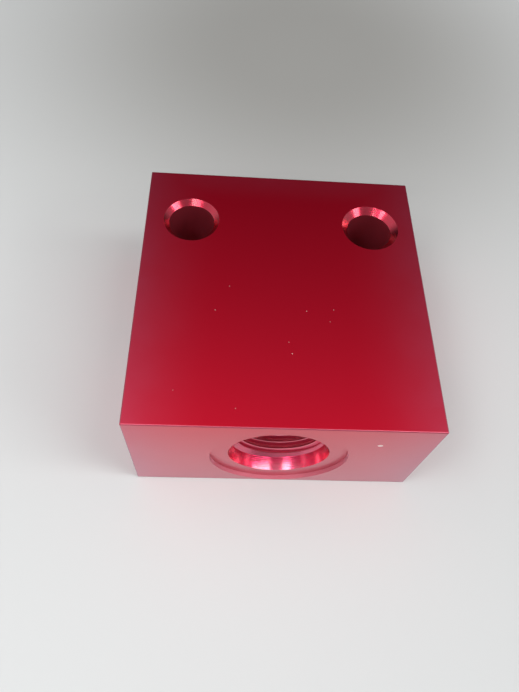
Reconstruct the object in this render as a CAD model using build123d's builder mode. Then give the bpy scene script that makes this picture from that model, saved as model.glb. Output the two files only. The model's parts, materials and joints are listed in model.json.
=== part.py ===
"""Hydraulic manifold block for one screw-in cartridge valve, machined from a single aluminium bar.

A stepped cartridge cavity opens in the front face. Two O-ring work ports, one in each side
face, meet it through cross drillings, and two plain holes go through the back of the block
for the bolts that hold it down.

Frame, in millimetres: +X to the right, +Y from the front face to the back, +Z up, with the
origin at the middle of the underside.
"""
import os
from dataclasses import dataclass
from math import radians, tan

from build123d import *

# Block
block_width = 60.0
block_depth = 63.0
block_height = 30.0
edge_break = 0.25

# Through holes for the mounting bolts
mount_hole_diameter = 10.0
mount_hole_chamfer = 1.2
mount_hole_spacing = 40.0
mount_hole_to_back = 14.0

# Ports: the height of every port's axis, and the angles that their tools share
port_height = 14.5
seat_half_angle = 12.0
lead_in_half_angle = 45.0
drill_half_angle = 59.0

# Cartridge cavity in the front face, tapped 3/4-16; depths are from that face
cavity_spotface_diameter = 28.2
cavity_spotface_depth = 0.9
cavity_mouth_diameter = 20.7
cavity_seat_depth = 2.7
cavity_tap_drill_diameter = 17.5
cavity_thread_end = 13.5
chamber_diameter = 16.0
nose_bore_diameter = 12.7
pilot_drill_diameter = 9.5

# Work ports in the side faces, tapped 9/16-18, and the cross drillings that join the cavity
port_spotface_diameter = 25.0
port_spotface_depth = 0.5
port_mouth_diameter = 15.6
port_seat_depth = 2.4
port_tap_drill_diameter = 12.9
port_thread_end = 13.0
cross_drill_diameter = 7.0
cross_drill_clearance = 0.5
chamber_port_from_front = 18.0
nose_port_from_front = 33.0


@dataclass
class Mouth:
    """The outer end of an O-ring port: a spotface, a conical seat and a tapped bore."""

    spotface_radius: float
    spotface_depth: float
    mouth_radius: float
    seat_depth: float
    tap_drill_radius: float
    thread_end: float

    def corners(self):
        """(radius, depth) corners from the block's face down to the end of the thread."""
        seat_end = self.spotface_depth + self.seat_depth
        seat_radius = self.mouth_radius - self.seat_depth * tan(radians(seat_half_angle))
        thread_start = seat_end + cone_length(seat_radius, self.tap_drill_radius, lead_in_half_angle)
        return [
            (0, 0),
            (self.spotface_radius, 0),
            (self.spotface_radius, self.spotface_depth),
            (self.mouth_radius, self.spotface_depth),
            (seat_radius, seat_end),
            (self.tap_drill_radius, thread_start),
            (self.tap_drill_radius, self.thread_end),
        ]


def cone_length(wide_radius, narrow_radius, half_angle):
    """Length of a cone that narrows from one radius to the other."""
    return (wide_radius - narrow_radius) / tan(radians(half_angle))


cavity_mouth = Mouth(
    spotface_radius=cavity_spotface_diameter / 2,
    spotface_depth=cavity_spotface_depth,
    mouth_radius=cavity_mouth_diameter / 2,
    seat_depth=cavity_seat_depth,
    tap_drill_radius=cavity_tap_drill_diameter / 2,
    thread_end=cavity_thread_end,
)
port_mouth = Mouth(
    spotface_radius=port_spotface_diameter / 2,
    spotface_depth=port_spotface_depth,
    mouth_radius=port_mouth_diameter / 2,
    seat_depth=port_seat_depth,
    tap_drill_radius=port_tap_drill_diameter / 2,
    thread_end=port_thread_end,
)

# Below the cavity's thread: the chamber that one work port opens into, the nose bore,
# and the pilot drilling that the other work port opens into
chamber_radius = chamber_diameter / 2
nose_radius = nose_bore_diameter / 2
pilot_radius = pilot_drill_diameter / 2
cross_drill_radius = cross_drill_diameter / 2
cross_drill_reach = cross_drill_radius + cross_drill_clearance
chamber_start = cavity_thread_end + cone_length(
    cavity_mouth.tap_drill_radius, chamber_radius, lead_in_half_angle
)
chamber_end = chamber_port_from_front + cross_drill_reach
nose_start = chamber_end + cone_length(chamber_radius, nose_radius, lead_in_half_angle)
pilot_start = nose_port_from_front - cross_drill_reach
nose_end = pilot_start - cone_length(nose_radius, pilot_radius, drill_half_angle)
pilot_end = nose_port_from_front + cross_drill_reach
pilot_tip = pilot_end + cone_length(pilot_radius, 0, drill_half_angle)
cavity_corners = cavity_mouth.corners() + [
    (chamber_radius, chamber_start),
    (chamber_radius, chamber_end),
    (nose_radius, nose_start),
    (nose_radius, nose_end),
    (pilot_radius, pilot_start),
    (pilot_radius, pilot_end),
    (0, pilot_tip),
]

# Each cross drilling starts from a port's drill point and ends on the cavity's axis
cross_drill_start = port_thread_end + cone_length(
    port_mouth.tap_drill_radius, cross_drill_radius, drill_half_angle
)
cross_drill_end = block_width / 2
port_corners = port_mouth.corners() + [
    (cross_drill_radius, cross_drill_start),
    (cross_drill_radius, cross_drill_end),
    (0, cross_drill_end),
]

# Where the ports open. In each plane x is the radius and y the depth below the face
front_y = -block_depth / 2
side_x = block_width / 2
cavity_plane = Plane(origin=(0, front_y, port_height), x_dir=(1, 0, 0), z_dir=(0, 0, 1))
chamber_port_plane = Plane(
    origin=(side_x, front_y + chamber_port_from_front, port_height), x_dir=(0, 1, 0), z_dir=(0, 0, 1)
)
nose_port_plane = Plane(
    origin=(-side_x, front_y + nose_port_from_front, port_height), x_dir=(0, -1, 0), z_dir=(0, 0, 1)
)
mount_hole_y = block_depth / 2 - mount_hole_to_back

with BuildPart() as manifold_block:
    Box(block_width, block_depth, block_height, align=(Align.CENTER, Align.CENTER, Align.MIN))
    chamfer(manifold_block.edges(), edge_break)

    with Locations((0, mount_hole_y, block_height)):
        with GridLocations(mount_hole_spacing, 0, 2, 1):
            Hole(mount_hole_diameter / 2)
    chamfer(manifold_block.edges().filter_by(GeomType.CIRCLE), mount_hole_chamfer)

    for plane, corners in (
        (cavity_plane, cavity_corners),
        (chamber_port_plane, port_corners),
        (nose_port_plane, port_corners),
    ):
        with BuildSketch(plane):
            with BuildLine():
                Polyline(*corners, close=True)
            make_face()
        revolve(axis=Axis(plane.origin, plane.y_dir), mode=Mode.SUBTRACT)

manifold_block.part.label = "manifold_block"
os.makedirs("parts", exist_ok=True)
export_step(manifold_block.part, "parts/manifold_block.step")
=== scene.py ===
"""Looks of the hydraulic manifold block: one block of aluminium, machined and anodised red.

The block is made again here, in metres and in the CAD model's frame, with rounded edges, the
cut threads, the marks that the tools leave and the few nicks it has picked up.
"""
import json
from math import ceil, cos, pi, radians, sin, sqrt, tan

import bmesh
import bpy
from mathutils import Matrix, Vector


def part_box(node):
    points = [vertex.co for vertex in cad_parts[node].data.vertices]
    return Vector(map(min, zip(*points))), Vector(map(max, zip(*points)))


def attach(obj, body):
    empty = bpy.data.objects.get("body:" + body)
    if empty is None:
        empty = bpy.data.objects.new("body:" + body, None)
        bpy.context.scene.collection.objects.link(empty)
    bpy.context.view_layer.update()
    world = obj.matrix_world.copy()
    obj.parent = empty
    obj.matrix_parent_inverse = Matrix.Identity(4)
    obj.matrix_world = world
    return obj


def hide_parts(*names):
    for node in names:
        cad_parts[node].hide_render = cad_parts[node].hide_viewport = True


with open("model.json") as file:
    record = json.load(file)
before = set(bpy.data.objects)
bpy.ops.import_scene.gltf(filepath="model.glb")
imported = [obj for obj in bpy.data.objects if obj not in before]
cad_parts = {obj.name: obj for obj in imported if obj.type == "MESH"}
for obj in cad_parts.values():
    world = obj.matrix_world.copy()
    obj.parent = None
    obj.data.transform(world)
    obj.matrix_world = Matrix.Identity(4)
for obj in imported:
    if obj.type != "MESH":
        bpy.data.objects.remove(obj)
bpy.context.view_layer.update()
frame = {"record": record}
mounts = {mount["name"]: mount for mount in frame["record"]["mounts"]}
low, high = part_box("manifold_block")
MM = 0.001

# Block, in millimetres. The left hole's chamfer came out smaller than the right one's
edge_round = 0.25
mount_hole_chamfers = (1.1, 1.35)

# Tools: how far they run past a face, in millimetres, and how many sides their circles have
tool_overrun = 1.0
steps_round = 120

# Angles that the tools share, in degrees
seat_half_angle = 12.0
lead_in_half_angle = 45.0
drill_half_angle = 59.0

# Taps: lengths in millimetres, angles in degrees, and turns or pitches where the name says so
flank_angle = 30.0
crest_break = 0.07
crest_break_angle = 55.0
foot_inside_bore = 0.15
start_turns_round = 0.25
start_pitches_past_seat = 0.15
end_before_bore_end = 0.3
run_out_turns = 1.2
run_out_height = 0.05

# Ports, in millimetres, as the drills, form tools and taps leave them
ports = {
    "cartridge_cavity": {
        "spotface_diameter": 28.2,
        "spotface_depth": 0.9,
        "mouth_diameter": 20.7,
        "seat_depth": 2.7,
        "thread_diameter": 19.05,
        "pitch": 25.4 / 16,
    },
    "chamber_port": {
        "spotface_diameter": 25.0,
        "spotface_depth": 0.5,
        "mouth_diameter": 15.6,
        "seat_depth": 2.4,
        "thread_diameter": 14.29,
        "pitch": 25.4 / 18,
    },
}
ports["nose_port"] = ports["chamber_port"]
chamber_diameter = 16.0
nose_bore_diameter = 12.7
pilot_drill_diameter = 9.5
cross_drill_diameter = 7.0
cross_drill_clearance = 0.5

# Small dents that show bare metal, in millimetres: the place on the face, then the size. Both
# are given across and up for the front one, and across and back for the top ones
front_nick = (18.9, 22.8, 1.1, 0.8)
top_nicks = [
    (-11.2, -0.3, 0.15, 0.13),
    (-13.9, -6.3, 0.18, 0.14),
    (4.6, -5.8, 0.15, 0.13),
    (10.2, -5.2, 0.14, 0.14),
    (9.3, -8.1, 0.16, 0.13),
    (0.8, -13.2, 0.14, 0.13),
    (1.4, -15.8, 0.19, 0.14),
    (-21, -24.4, 0.13, 0.12),
    (-9.4, -27.7, 0.15, 0.12),
]
nick_depth = 0.08

# Faces that meet at more than this, in degrees, keep a sharp edge between them
sharp_angle = 10.0

# Finishes, in the order of the block's material slots
BLASTED, EDGE_PAINTED_HIGHLIGHT, MILLED, BORED, COUNTERSUNK, DRILLED, PAINTED_THREAD_LINES, TAPPED, BARE = range(9)
UV_NAME = "turning"


# ---------------------------------------------------------------- mesh tools


def cone_length(wide_radius, narrow_radius, half_angle):
    """Length of a cone that narrows from one radius to the other."""
    return (wide_radius - narrow_radius) / tan(radians(half_angle))


def place_along(mouth, inward):
    """Matrix that turns a tool's own +Z into the way it goes in, and puts its zero at the mouth."""
    return Matrix.Translation(mouth) @ inward.to_track_quat("Z", "Y").to_matrix().to_4x4()


def turned_body(tool, steps, placing):
    """Add a closed body of revolution to a bmesh.

    steps are (radius, depth, finish), from the axis back to the axis, and each finish is that
    of the surface between the step before it and itself. The UV map holds the turn, and the
    length along the profile in millimetres.
    """
    uv = tool.loops.layers.uv.get(UV_NAME) or tool.loops.layers.uv.new(UV_NAME)
    rings = []
    for radius, depth, _ in steps:
        count = steps_round if radius else 1
        rings.append([
            tool.verts.new(placing @ Vector((
                radius * MM * cos(2 * pi * i / count),
                radius * MM * sin(2 * pi * i / count),
                depth * MM,
            )))
            for i in range(count)
        ])
    along = 0.0
    for index in range(1, len(steps)):
        before, after = rings[index - 1], rings[index]
        length = sqrt(sum((a - b) ** 2 for a, b in zip(steps[index][:2], steps[index - 1][:2])))
        for i in range(steps_round):
            corners = [
                (before[i % len(before)], i, along),
                (before[(i + 1) % len(before)], i + 1, along),
                (after[(i + 1) % len(after)], i + 1, along + length),
                (after[i % len(after)], i, along + length),
            ]
            distinct = []
            for corner in corners:
                if all(corner[0] is not other[0] for other in distinct):
                    distinct.append(corner)
            face = tool.faces.new([corner[0] for corner in distinct])
            face.material_index = steps[index][2]
            for loop, (_, turn, height) in zip(face.loops, distinct):
                loop[uv].uv = (turn / steps_round, height)
        along += length


def thread_ridge(tool, port, bore_radius, end, placing):
    """Add the ridge that a tap cuts with: a helical bar, 60 degrees between its flanks.

    It widens at its foot, which breaks the thread's crests, and its foot is in the open bore.
    It gets lower over its last turns, so the thread runs out at its inner end.
    """
    uv = tool.loops.layers.uv.get(UV_NAME) or tool.loops.layers.uv.new(UV_NAME)
    pitch = port["pitch"]
    foot = bore_radius - foot_inside_bore
    knee = bore_radius + crest_break
    root = port["thread_diameter"] / 2
    # Half of the flat at the thread's root, which is an eighth of the pitch wide
    flat = pitch / 16
    start = port["spotface_depth"] + port["seat_depth"] + start_pitches_past_seat * pitch
    turns = (end - start) / pitch
    count = ceil(turns * steps_round)
    rings = []
    for i in range(count + 1):
        turn = turns * i / count
        share = min(1, (turns - turn) / run_out_turns)
        top = knee + run_out_height + (root - knee - run_out_height) * share
        low_half = flat + (top - knee) * tan(radians(flank_angle))
        foot_half = low_half + (knee - foot) * tan(radians(crest_break_angle))
        depth = start + pitch * turn
        angle = 2 * pi * (turn + start_turns_round)
        rings.append([
            tool.verts.new(placing @ Vector((
                radius * MM * cos(angle), radius * MM * sin(angle), height * MM
            )))
            for radius, height in (
                (foot, depth - foot_half), (knee, depth - low_half), (top, depth - flat),
                (top, depth + flat), (knee, depth + low_half), (foot, depth + foot_half),
            )
        ])
    # A crest's bevel, a flank, the root, the other flank, the other bevel, the foot
    # The bevels and the root get the pale pink of painted highlights
    finishes = (PAINTED_THREAD_LINES, TAPPED, PAINTED_THREAD_LINES, TAPPED, PAINTED_THREAD_LINES, TAPPED)
    for i in range(count):
        for side, finish in enumerate(finishes):
            after = (side + 1) % len(finishes)
            face = tool.faces.new((
                rings[i][side], rings[i + 1][side], rings[i + 1][after], rings[i][after],
            ))
            face.material_index = finish
            # The UV map takes each side of the ridge as half a pitch wide
            corners = ((i, side), (i + 1, side), (i + 1, side + 1), (i, side + 1))
            for loop, (turn, height) in zip(face.loops, corners):
                loop[uv].uv = (turn / steps_round, height * pitch / 2)
    for ring in (rings[0], rings[-1][::-1]):
        tool.faces.new(ring).material_index = TAPPED


def dent_body(tool, centre, across, up, size, finish):
    """Add a flat lens to a bmesh, to press a shallow dent with."""
    normal = across.cross(up)
    result = bmesh.ops.create_icosphere(tool, subdivisions=2, radius=0.5)
    axes = Matrix((across * size[0] * MM, up * size[1] * MM, normal * 2 * nick_depth * MM))
    stretch = axes.transposed()
    for vert in result["verts"]:
        vert.co = centre + stretch @ vert.co
    for face in {face for vert in result["verts"] for face in vert.link_faces}:
        face.material_index = finish


def object_from(tool, name):
    """Turn a bmesh into an object in the scene, with its faces turned outwards."""
    bmesh.ops.recalc_face_normals(tool, faces=tool.faces)
    mesh = bpy.data.meshes.new(name)
    tool.to_mesh(mesh)
    tool.free()
    made = bpy.data.objects.new(name, mesh)
    bpy.context.collection.objects.link(made)
    return made


def cut(block, tool):
    """Take a tool's bodies out of the block, keeping each surface's finish."""
    boolean = block.modifiers.new(tool.name, "BOOLEAN")
    boolean.operation = "DIFFERENCE"
    boolean.solver = "EXACT"
    boolean.object = tool
    settle(block)
    bpy.data.objects.remove(tool)


def settle(made):
    """Make an object's modifiers part of its mesh."""
    bpy.context.view_layer.update()
    settled = made.evaluated_get(bpy.context.evaluated_depsgraph_get())
    mesh = bpy.data.meshes.new_from_object(settled)
    made.modifiers.clear()
    made.data = mesh


# ---------------------------------------------------------------- block


def bar_with_rounded_edges():
    """The sawn and milled bar, with its edges broken."""
    body = bmesh.new()
    body.loops.layers.uv.new(UV_NAME)
    bmesh.ops.create_cube(body, size=1.0)
    size, middle = high - low, (low + high) / 2
    for vert in body.verts:
        vert.co = Vector(middle[i] + vert.co[i] * size[i] for i in range(3))
    # The rounding takes the paler red of a painted highlight along the edges
    bmesh.ops.bevel(
        body, geom=body.edges[:], offset=edge_round * MM, segments=3, profile=0.5,
        affect="EDGES", material=EDGE_PAINTED_HIGHLIGHT,
    )
    return object_from(body, "block_of_red_aluminium")


def port_mouth(mount):
    """Where a port's axis meets the block's face, and the way in."""
    place, out = Vector(mount["pos_m"]), Vector(mount["axis"])
    axis = max(range(3), key=lambda i: abs(out[i]))
    place[axis] = high[axis] if out[axis] > 0 else low[axis]
    return place, -out


def port_steps(port, mount):
    """Steps of a port from outside its face down to the end of its thread."""
    bore = mount["dims"]["r_mm"]
    spotface, mouth = port["spotface_diameter"] / 2, port["mouth_diameter"] / 2
    seat_end = port["spotface_depth"] + port["seat_depth"]
    seat = mouth - port["seat_depth"] * tan(radians(seat_half_angle))
    thread_start = seat_end + cone_length(seat, bore, lead_in_half_angle)
    thread_end = thread_start + mount["dims"]["length_mm"]
    return [
        (0, -tool_overrun, BLASTED),
        (spotface, -tool_overrun, BLASTED),
        (spotface, port["spotface_depth"], MILLED),
        (mouth, port["spotface_depth"], BLASTED),
        (seat, seat_end, BORED),
        (bore, thread_start, BORED),
        (bore, thread_end, DRILLED),
    ]


def cavity_steps():
    """The cartridge cavity's steps, down to the drill point behind the nose bore."""
    steps = port_steps(ports["cartridge_cavity"], mounts["cartridge_cavity"])
    bore, thread_end, _ = steps[-1]
    chamber, nose, pilot = chamber_diameter / 2, nose_bore_diameter / 2, pilot_drill_diameter / 2
    reach = cross_drill_diameter / 2 + cross_drill_clearance
    chamber_middle = (mounts["chamber_port"]["pos_m"][1] - low.y) / MM
    nose_middle = (mounts["nose_port"]["pos_m"][1] - low.y) / MM
    chamber_end, pilot_start = chamber_middle + reach, nose_middle - reach
    pilot_end = nose_middle + reach
    return steps + [
        (chamber, thread_end + cone_length(bore, chamber, lead_in_half_angle), DRILLED),
        (chamber, chamber_end, DRILLED),
        (nose, chamber_end + cone_length(chamber, nose, lead_in_half_angle), BORED),
        (nose, pilot_start - cone_length(nose, pilot, drill_half_angle), BORED),
        (pilot, pilot_start, DRILLED),
        (pilot, pilot_end, DRILLED),
        (0, pilot_end + cone_length(pilot, 0, drill_half_angle), DRILLED),
    ]


def side_port_steps(name):
    """A work port's steps, down to its cross drilling and along it to the cavity's axis."""
    steps = port_steps(ports[name], mounts[name])
    bore, thread_end, _ = steps[-1]
    cross = cross_drill_diameter / 2
    to_axis = (high.x - low.x) / 2 / MM
    return steps + [
        (cross, thread_end + cone_length(bore, cross, drill_half_angle), DRILLED),
        (cross, to_axis, DRILLED),
        (0, to_axis, DRILLED),
    ]


def mount_hole_steps(radius, height, chamfer):
    """A through hole with a chamfer at each end; the cones run on past the faces."""
    wide = radius + chamfer + tool_overrun
    return [
        (0, -tool_overrun, DRILLED),
        (wide, -tool_overrun, DRILLED),
        (radius, chamfer, COUNTERSUNK),
        (radius, height - chamfer, DRILLED),
        (wide, height + tool_overrun, COUNTERSUNK),
        (0, height + tool_overrun, DRILLED),
    ]


def make_block():
    """Machine the block: holes, ports, threads, then the nicks of its use."""
    block = bar_with_rounded_edges()

    pattern = mounts["mounting_bolts"]
    sizes = pattern["dims"]
    holes = bmesh.new()
    for side, chamfer in zip((-0.5, 0.5), mount_hole_chamfers):
        mouth = Vector(pattern["pos_m"]) + Vector((side * sizes["spacing_x_mm"] * MM, 0, 0))
        mouth.z = high.z
        steps = mount_hole_steps(sizes["hole_r_mm"], (high.z - low.z) / MM, chamfer)
        turned_body(holes, steps, place_along(mouth, Vector((0, 0, -1))))
    cut(block, object_from(holes, "hole_drills"))

    for names in (["cartridge_cavity"], ["chamber_port", "nose_port"]):
        tools = bmesh.new()
        for name in names:
            steps = cavity_steps() if name == "cartridge_cavity" else side_port_steps(name)
            turned_body(tools, steps, place_along(*port_mouth(mounts[name])))
        cut(block, object_from(tools, "form_tools"))

    taps = bmesh.new()
    for name, port in ports.items():
        bore, bore_end, _ = port_steps(port, mounts[name])[-1]
        placing = place_along(*port_mouth(mounts[name]))
        thread_ridge(taps, port, bore, bore_end - end_before_bore_end, placing)
    cut(block, object_from(taps, "taps"))

    dents = bmesh.new()
    dents.loops.layers.uv.new(UV_NAME)
    across, back, up = Vector((1, 0, 0)), Vector((0, 1, 0)), Vector((0, 0, 1))
    x, z, width, height = front_nick
    dent_body(dents, Vector((x * MM, low.y, z * MM)), across, up, (width, height), BARE)
    for x, y, width, height in top_nicks:
        dent_body(dents, Vector((x * MM, y * MM, high.z)), across, back, (width, height), BARE)
    cut(block, object_from(dents, "dents"))

    block.data.name = block.name
    block.data.shade_smooth()
    block.data.set_sharp_from_angle(angle=radians(sharp_angle))
    return block


# ---------------------------------------------------------------- materials


def srgb(colour):
    """Linear red, green and blue, and alpha, from an sRGB hex value."""
    parts = [int(colour[i:i + 2], 16) / 255 for i in (1, 3, 5)]
    return [c / 12.92 if c <= 0.04045 else ((c + 0.055) / 1.055) ** 2.4 for c in parts] + [1.0]


def add_node(tree, kind, inputs=None, **settings):
    """Add a node, set it up, and fill each named input with a value or another node's output."""
    node = tree.nodes.new(kind)
    for name, value in settings.items():
        setattr(node, name, value)
    for name, value in (inputs or {}).items():
        if isinstance(value, bpy.types.NodeSocket):
            tree.links.new(value, node.inputs[name])
        else:
            node.inputs[name].default_value = value
    return node


def new_material(name):
    """An empty node material, its tree and its output node."""
    material = bpy.data.materials.new(name)
    material.use_nodes = True
    material.node_tree.nodes.clear()
    return material, material.node_tree, add_node(material.node_tree, "ShaderNodeOutputMaterial")


def matt_anodised_aluminium(name, dye, painted_sheen_dye, painted_reflection_colour, roughness):
    """Anodised aluminium with a matt surface, from blasting, a cutter's side or handling.

    The dyed oxide is a clear film on rough metal: red from above, and a painted pale reflection of
    the table, mixed into the colour at a low angle. The surface has a fine, even grain. A painted
    sheen makes the red paler towards the block's sides and along its back.
    """
    material, tree, output = new_material(name)
    place = add_node(tree, "ShaderNodeTexCoord").outputs["Object"]
    # Patches a few millimetres wide keep the painted sheen from looking even
    cloud = add_node(tree, "ShaderNodeTexNoise", {
        "Vector": place, "Scale": 1 / (7 * MM), "Detail": 3.0,
    })
    # Bead marks are about 0.1 mm; they are drawn at 0.3 mm so that they show
    grain = add_node(tree, "ShaderNodeTexNoise", {
        "Vector": place, "Scale": 1 / (0.3 * MM), "Detail": 2.0,
    })
    split = add_node(tree, "ShaderNodeSeparateXYZ", {"Vector": place})
    from_middle = add_node(tree, "ShaderNodeMath", {0: split.outputs["X"]}, operation="ABSOLUTE")
    # Painted sheen, paler from 12 mm off the middle outwards: slowly at first, and faster near the
    # sides
    to_sides = add_node(tree, "ShaderNodeMapRange", {
        "Value": from_middle.outputs["Value"], "From Min": 12 * MM, "From Max": high.x,
    })
    at_sides = add_node(tree, "ShaderNodeMath", {
        0: to_sides.outputs["Result"], 1: 2.2,
    }, operation="POWER")
    # The painted sheen's back strip begins 23 mm behind the middle, and goes less than half as pale
    at_back = add_node(tree, "ShaderNodeMapRange", {
        "Value": split.outputs["Y"], "From Min": 23 * MM, "From Max": high.y, "To Max": 0.45,
    }, interpolation_type="SMOOTHSTEP")
    painted_sheen_zone = add_node(tree, "ShaderNodeMath", {
        0: at_sides.outputs["Value"], 1: at_back.outputs["Result"],
    }, operation="MAXIMUM")
    share = add_node(tree, "ShaderNodeMapRange", {
        "Value": cloud.outputs["Fac"], "To Min": 0.28, "To Max": 0.6,
    })
    patchy = add_node(tree, "ShaderNodeMath", {
        0: painted_sheen_zone.outputs["Value"], 1: share.outputs["Result"],
    }, operation="MULTIPLY")
    # The paler dye of the painted sheen, mixed over the red
    dye_with_painted_sheen = add_node(tree, "ShaderNodeMix", {
        "Factor": patchy.outputs["Value"], "A": srgb(dye), "B": srgb(painted_sheen_dye),
    }, data_type="RGBA")
    # From 66 to 74 degrees off the normal, a painted pale reflection of the table comes up over the
    # dye
    facing = add_node(tree, "ShaderNodeLayerWeight", {"Blend": 0.5}).outputs["Facing"]
    painted_reflection_share = add_node(tree, "ShaderNodeMapRange", {
        "Value": facing, "From Min": 0.6, "From Max": 0.72, "To Max": 0.38,
    })
    colour = add_node(tree, "ShaderNodeMix", {
        "Factor": painted_reflection_share.outputs["Result"], "A": dye_with_painted_sheen.outputs["Result"], "B": srgb(painted_reflection_colour),
    }, data_type="RGBA")
    # The grain changes the gloss a little, and is a few microns deep
    rough = add_node(tree, "ShaderNodeMapRange", {
        "Value": grain.outputs["Fac"], "To Min": roughness - 0.04, "To Max": roughness + 0.04,
    })
    bump = add_node(tree, "ShaderNodeBump", {
        "Height": grain.outputs["Fac"], "Strength": 0.25, "Distance": 0.02 * MM,
    })
    surface = add_node(tree, "ShaderNodeBsdfPrincipled", {
        "Base Color": colour.outputs["Result"],
        "Metallic": 1.0,
        "Roughness": rough.outputs["Result"],
        "Normal": bump.outputs["Normal"],
        "Coat Weight": 1.0,
        "Coat Roughness": 0.22,
        "Coat IOR": 1.25,
    })
    tree.links.new(surface.outputs["BSDF"], output.inputs["Surface"])
    return material


def turned_anodised_aluminium(name, dye, metallic, film_ior, ring_pitch, ring_height, roughness):
    """Anodised aluminium as a cutting edge left it: bright, with a fine ring for each turn.

    The pitch and the height of the rings are in millimetres. They spread each light into a
    bright band across the rings.
    """
    material, tree, output = new_material(name)
    turning = add_node(tree, "ShaderNodeUVMap", uv_map=UV_NAME)
    split = add_node(tree, "ShaderNodeSeparateXYZ", {"Vector": turning.outputs["UV"]})
    # Chatter breaks the rings up: about 26 marks round, and 1.1 to each ring
    stretched = add_node(tree, "ShaderNodeMapping", {
        "Vector": turning.outputs["UV"], "Scale": (26.0, 1.1 / ring_pitch, 1.0),
    })
    chatter = add_node(tree, "ShaderNodeTexNoise", {
        "Vector": stretched.outputs["Vector"], "Scale": 1.0, "Detail": 2.0,
    }, noise_dimensions="2D")
    phase = add_node(tree, "ShaderNodeMath", {
        0: split.outputs["Y"], 1: 2 * pi / ring_pitch,
    }, operation="MULTIPLY")
    rings = add_node(tree, "ShaderNodeMath", {0: phase.outputs["Value"]}, operation="SINE")
    # Chatter counts six times as much as the even rings
    height = add_node(tree, "ShaderNodeMath", {
        0: chatter.outputs["Fac"], 1: 6.0, 2: rings.outputs["Value"],
    }, operation="MULTIPLY_ADD")
    bump = add_node(tree, "ShaderNodeBump", {
        "Height": height.outputs["Value"], "Strength": 1.0, "Distance": ring_height * MM,
    })
    tangent = add_node(tree, "ShaderNodeTangent", direction_type="UV_MAP", uv_map=UV_NAME)
    surface = add_node(tree, "ShaderNodeBsdfPrincipled", {
        "Base Color": srgb(dye),
        "Metallic": metallic,
        "Roughness": roughness,
        "Anisotropic": 0.6,
        "Tangent": tangent.outputs["Tangent"],
        "Normal": bump.outputs["Normal"],
        "Coat Weight": 1.0,
        "Coat Roughness": 0.15,
        "Coat IOR": film_ior,
    })
    tree.links.new(surface.outputs["BSDF"], output.inputs["Surface"])
    return material


def bare_aluminium():
    """Bare aluminium, where a knock went through the dyed skin: pale and dull."""
    material, tree, output = new_material("bare_aluminium")
    surface = add_node(tree, "ShaderNodeBsdfPrincipled", {
        "Base Color": srgb("#FBE6E4"), "Metallic": 1.0, "Roughness": 0.5,
    })
    tree.links.new(surface.outputs["BSDF"], output.inputs["Surface"])
    return material


def painted_table():
    """A table top painted a matt pale grey, with a darker patch behind the block.

    The darker patch is a painted shadow. Its middle is 12 mm to the right of the origin and 130 mm
    behind it. It is darkest within 20 mm of there, and fades out at 145 mm.
    """
    material, tree, output = new_material("painted_table")
    place = add_node(tree, "ShaderNodeTexCoord").outputs["Object"]
    away = add_node(tree, "ShaderNodeVectorMath", {
        0: place, 1: (12 * MM, 130 * MM, 0.0),
    }, operation="DISTANCE")
    # Painted shadow: the grey darkens towards the patch's middle
    back = add_node(tree, "ShaderNodeMapRange", {
        "Value": away.outputs["Value"], "From Min": 145 * MM, "From Max": 20 * MM,
    }, interpolation_type="SMOOTHSTEP")
    colour = add_node(tree, "ShaderNodeMix", {
        "Factor": back.outputs["Result"], "A": srgb("#D2D4D4"), "B": srgb("#9E9D9A"),
    }, data_type="RGBA")
    surface = add_node(tree, "ShaderNodeBsdfPrincipled", {
        "Base Color": colour.outputs["Result"], "Roughness": 0.7,
    })
    tree.links.new(surface.outputs["BSDF"], output.inputs["Surface"])
    return material


# ---------------------------------------------------------------- studio


def make_floor():
    """A wide pale table, a hair below the block so that their faces don't mix."""
    half_width = 1500.0
    gap = 0.02
    body = bmesh.new()
    bmesh.ops.create_grid(body, x_segments=1, y_segments=1, size=half_width * MM)
    floor = object_from(body, "floor")
    floor.location.z = low.z - gap * MM
    floor.data.materials.append(painted_table())


def make_light(name, radiance, height, middle, size, turn):
    """A flat panel that shines down.

    The height is in metres, and the place and the sides are shares of it. The turn is about
    the vertical, in degrees.
    """
    lamp = bpy.data.lights.new(name, "AREA")
    lamp.shape = "RECTANGLE"
    lamp.size, lamp.size_y = (height * side for side in size)
    lamp.energy = radiance * pi * lamp.size * lamp.size_y
    panel = bpy.data.objects.new(name, lamp)
    panel.location = (height * middle[0], height * middle[1], height)
    panel.rotation_euler.z = radians(turn)
    bpy.context.collection.objects.link(panel)


def make_world():
    """A pale room: brightest overhead, dimmer in front, dark behind, and darker to the right."""
    world = bpy.data.worlds.new("studio")
    bpy.context.scene.world = world
    world.use_nodes = True
    tree = world.node_tree
    tree.nodes.clear()
    direction = add_node(tree, "ShaderNodeTexCoord").outputs["Generated"]
    split = add_node(tree, "ShaderNodeSeparateXYZ", {"Vector": direction})
    # A direction's Y is -1 straight in front of the block, and 1 straight behind it
    behind = add_node(tree, "ShaderNodeMapRange", {
        "Value": split.outputs["Y"], "From Min": 0.19, "From Max": 0.79,
        "To Min": 0.74, "To Max": 0.03,
    }, interpolation_type="SMOOTHSTEP")
    ahead = add_node(tree, "ShaderNodeMapRange", {
        "Value": split.outputs["Y"], "From Min": -0.7, "From Max": 0.05,
        "To Min": 0.68, "To Max": 1.0,
    }, interpolation_type="SMOOTHSTEP")
    to_side = add_node(tree, "ShaderNodeMapRange", {
        "Value": split.outputs["X"], "From Min": -0.15, "From Max": 0.4,
        "To Min": 1.16, "To Max": 0.8,
    })
    along = add_node(tree, "ShaderNodeMath", {
        0: behind.outputs["Result"], 1: ahead.outputs["Result"],
    }, operation="MULTIPLY")
    light = add_node(tree, "ShaderNodeMath", {
        0: along.outputs["Value"], 1: to_side.outputs["Result"],
    }, operation="MULTIPLY")
    background = add_node(tree, "ShaderNodeBackground", {
        "Color": srgb("#FFFFFF"), "Strength": light.outputs["Value"],
    })
    add_node(tree, "ShaderNodeOutputWorld", {"Surface": background.outputs["Background"]})


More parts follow.
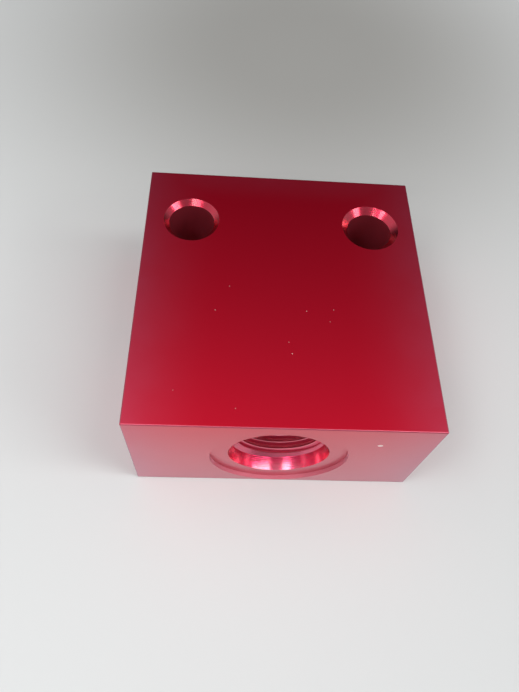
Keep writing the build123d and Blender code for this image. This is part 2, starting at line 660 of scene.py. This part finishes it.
def make_camera():
    """Above and in front of the block, a little to its left, and rolled a little.

    The lens and its place are in millimetres, and its angles in degrees.
    """
    data = bpy.data.cameras.new("camera")
    data.sensor_width = 36.0
    data.lens = 29.99
    data.clip_start = 10 * MM
    camera = bpy.data.objects.new("camera", data)
    camera.location = Vector((-11.94, -70.84, 126.71)) * MM
    camera.rotation_euler = [radians(angle) for angle in (30.234, -4.079, -0.047)]
    bpy.context.collection.objects.link(camera)
    bpy.context.scene.camera = camera


# ---------------------------------------------------------------- scene

block = make_block()
# Matt finishes take a dye, the dye of a painted pale sheen, the colour of a painted low-angle
# reflection, and a roughness
for finish in (
    # Outer faces and spotface floors: blasted with beads, then dyed, so matt, even, deep red
    matt_anodised_aluminium("blasted_anodised_aluminium", "#DC052D", "#D45878", "#A8BED2", 0.38),
    # Rounded edges: a paler red, a painted highlight along them
    matt_anodised_aluminium("rubbed_anodised_aluminium", "#BC5064", "#BC5064", "#A8ACC4", 0.45),
    # Spotface walls: milled by the side of the cutter, so rough, dull and pinkish
    matt_anodised_aluminium("milled_anodised_aluminium", "#DC8E9E", "#DC8E9E", "#D09CAC", 0.8),
    # Seats, lead-ins and the nose bore: cut by a form tool, so bright, with rings
    turned_anodised_aluminium("bored_anodised_aluminium", "#D83462", 1.0, 1.95, 0.38, 0.0038, 0.2),
    # Chamfers of the mounting holes: countersunk, so bright too, and a deeper red
    turned_anodised_aluminium(
        "countersunk_anodised_aluminium", "#BC1438", 1.0, 1.56, 0.38, 0.0028, 0.2,
    ),
    # Drilled bores: a drill leaves a rougher wall, so they are duller, with faint rings
    turned_anodised_aluminium("drilled_anodised_aluminium", "#D05062", 0.82, 1.7, 0.5, 0.001, 0.4),
    # Roots and broken crests of the threads: a pale pink, a painted highlight along each line
    turned_anodised_aluminium("burnished_anodised_aluminium", "#FF8098", 0.6, 1.9, 0.3, 0.001, 0.3),
    # Flanks of the threads: cut by the tap's edges, so a little duller
    turned_anodised_aluminium("tapped_anodised_aluminium", "#EC5074", 0.7, 1.6, 0.3, 0.001, 0.35),
    bare_aluminium(),
):
    block.data.materials.append(finish)
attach(block, "root")
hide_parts("manifold_block")

make_floor()
make_world()
make_light("right_panel", 5.4, 1.4, (1.47, -0.68), (0.8, 0.74), -40)
make_light("top_panel", 6.2, 0.8, (0.92, -0.17), (1.3, 0.24), 0)
make_light("left_panel", 6.8, 0.3, (-0.504, -0.335), (0.3, 0.6), -32)
make_light("low_left_panel", 6.8, 0.3, (-0.46, -0.9), (0.78, 0.18), 0)
make_camera()
bpy.context.scene.view_settings.view_transform = "Standard"
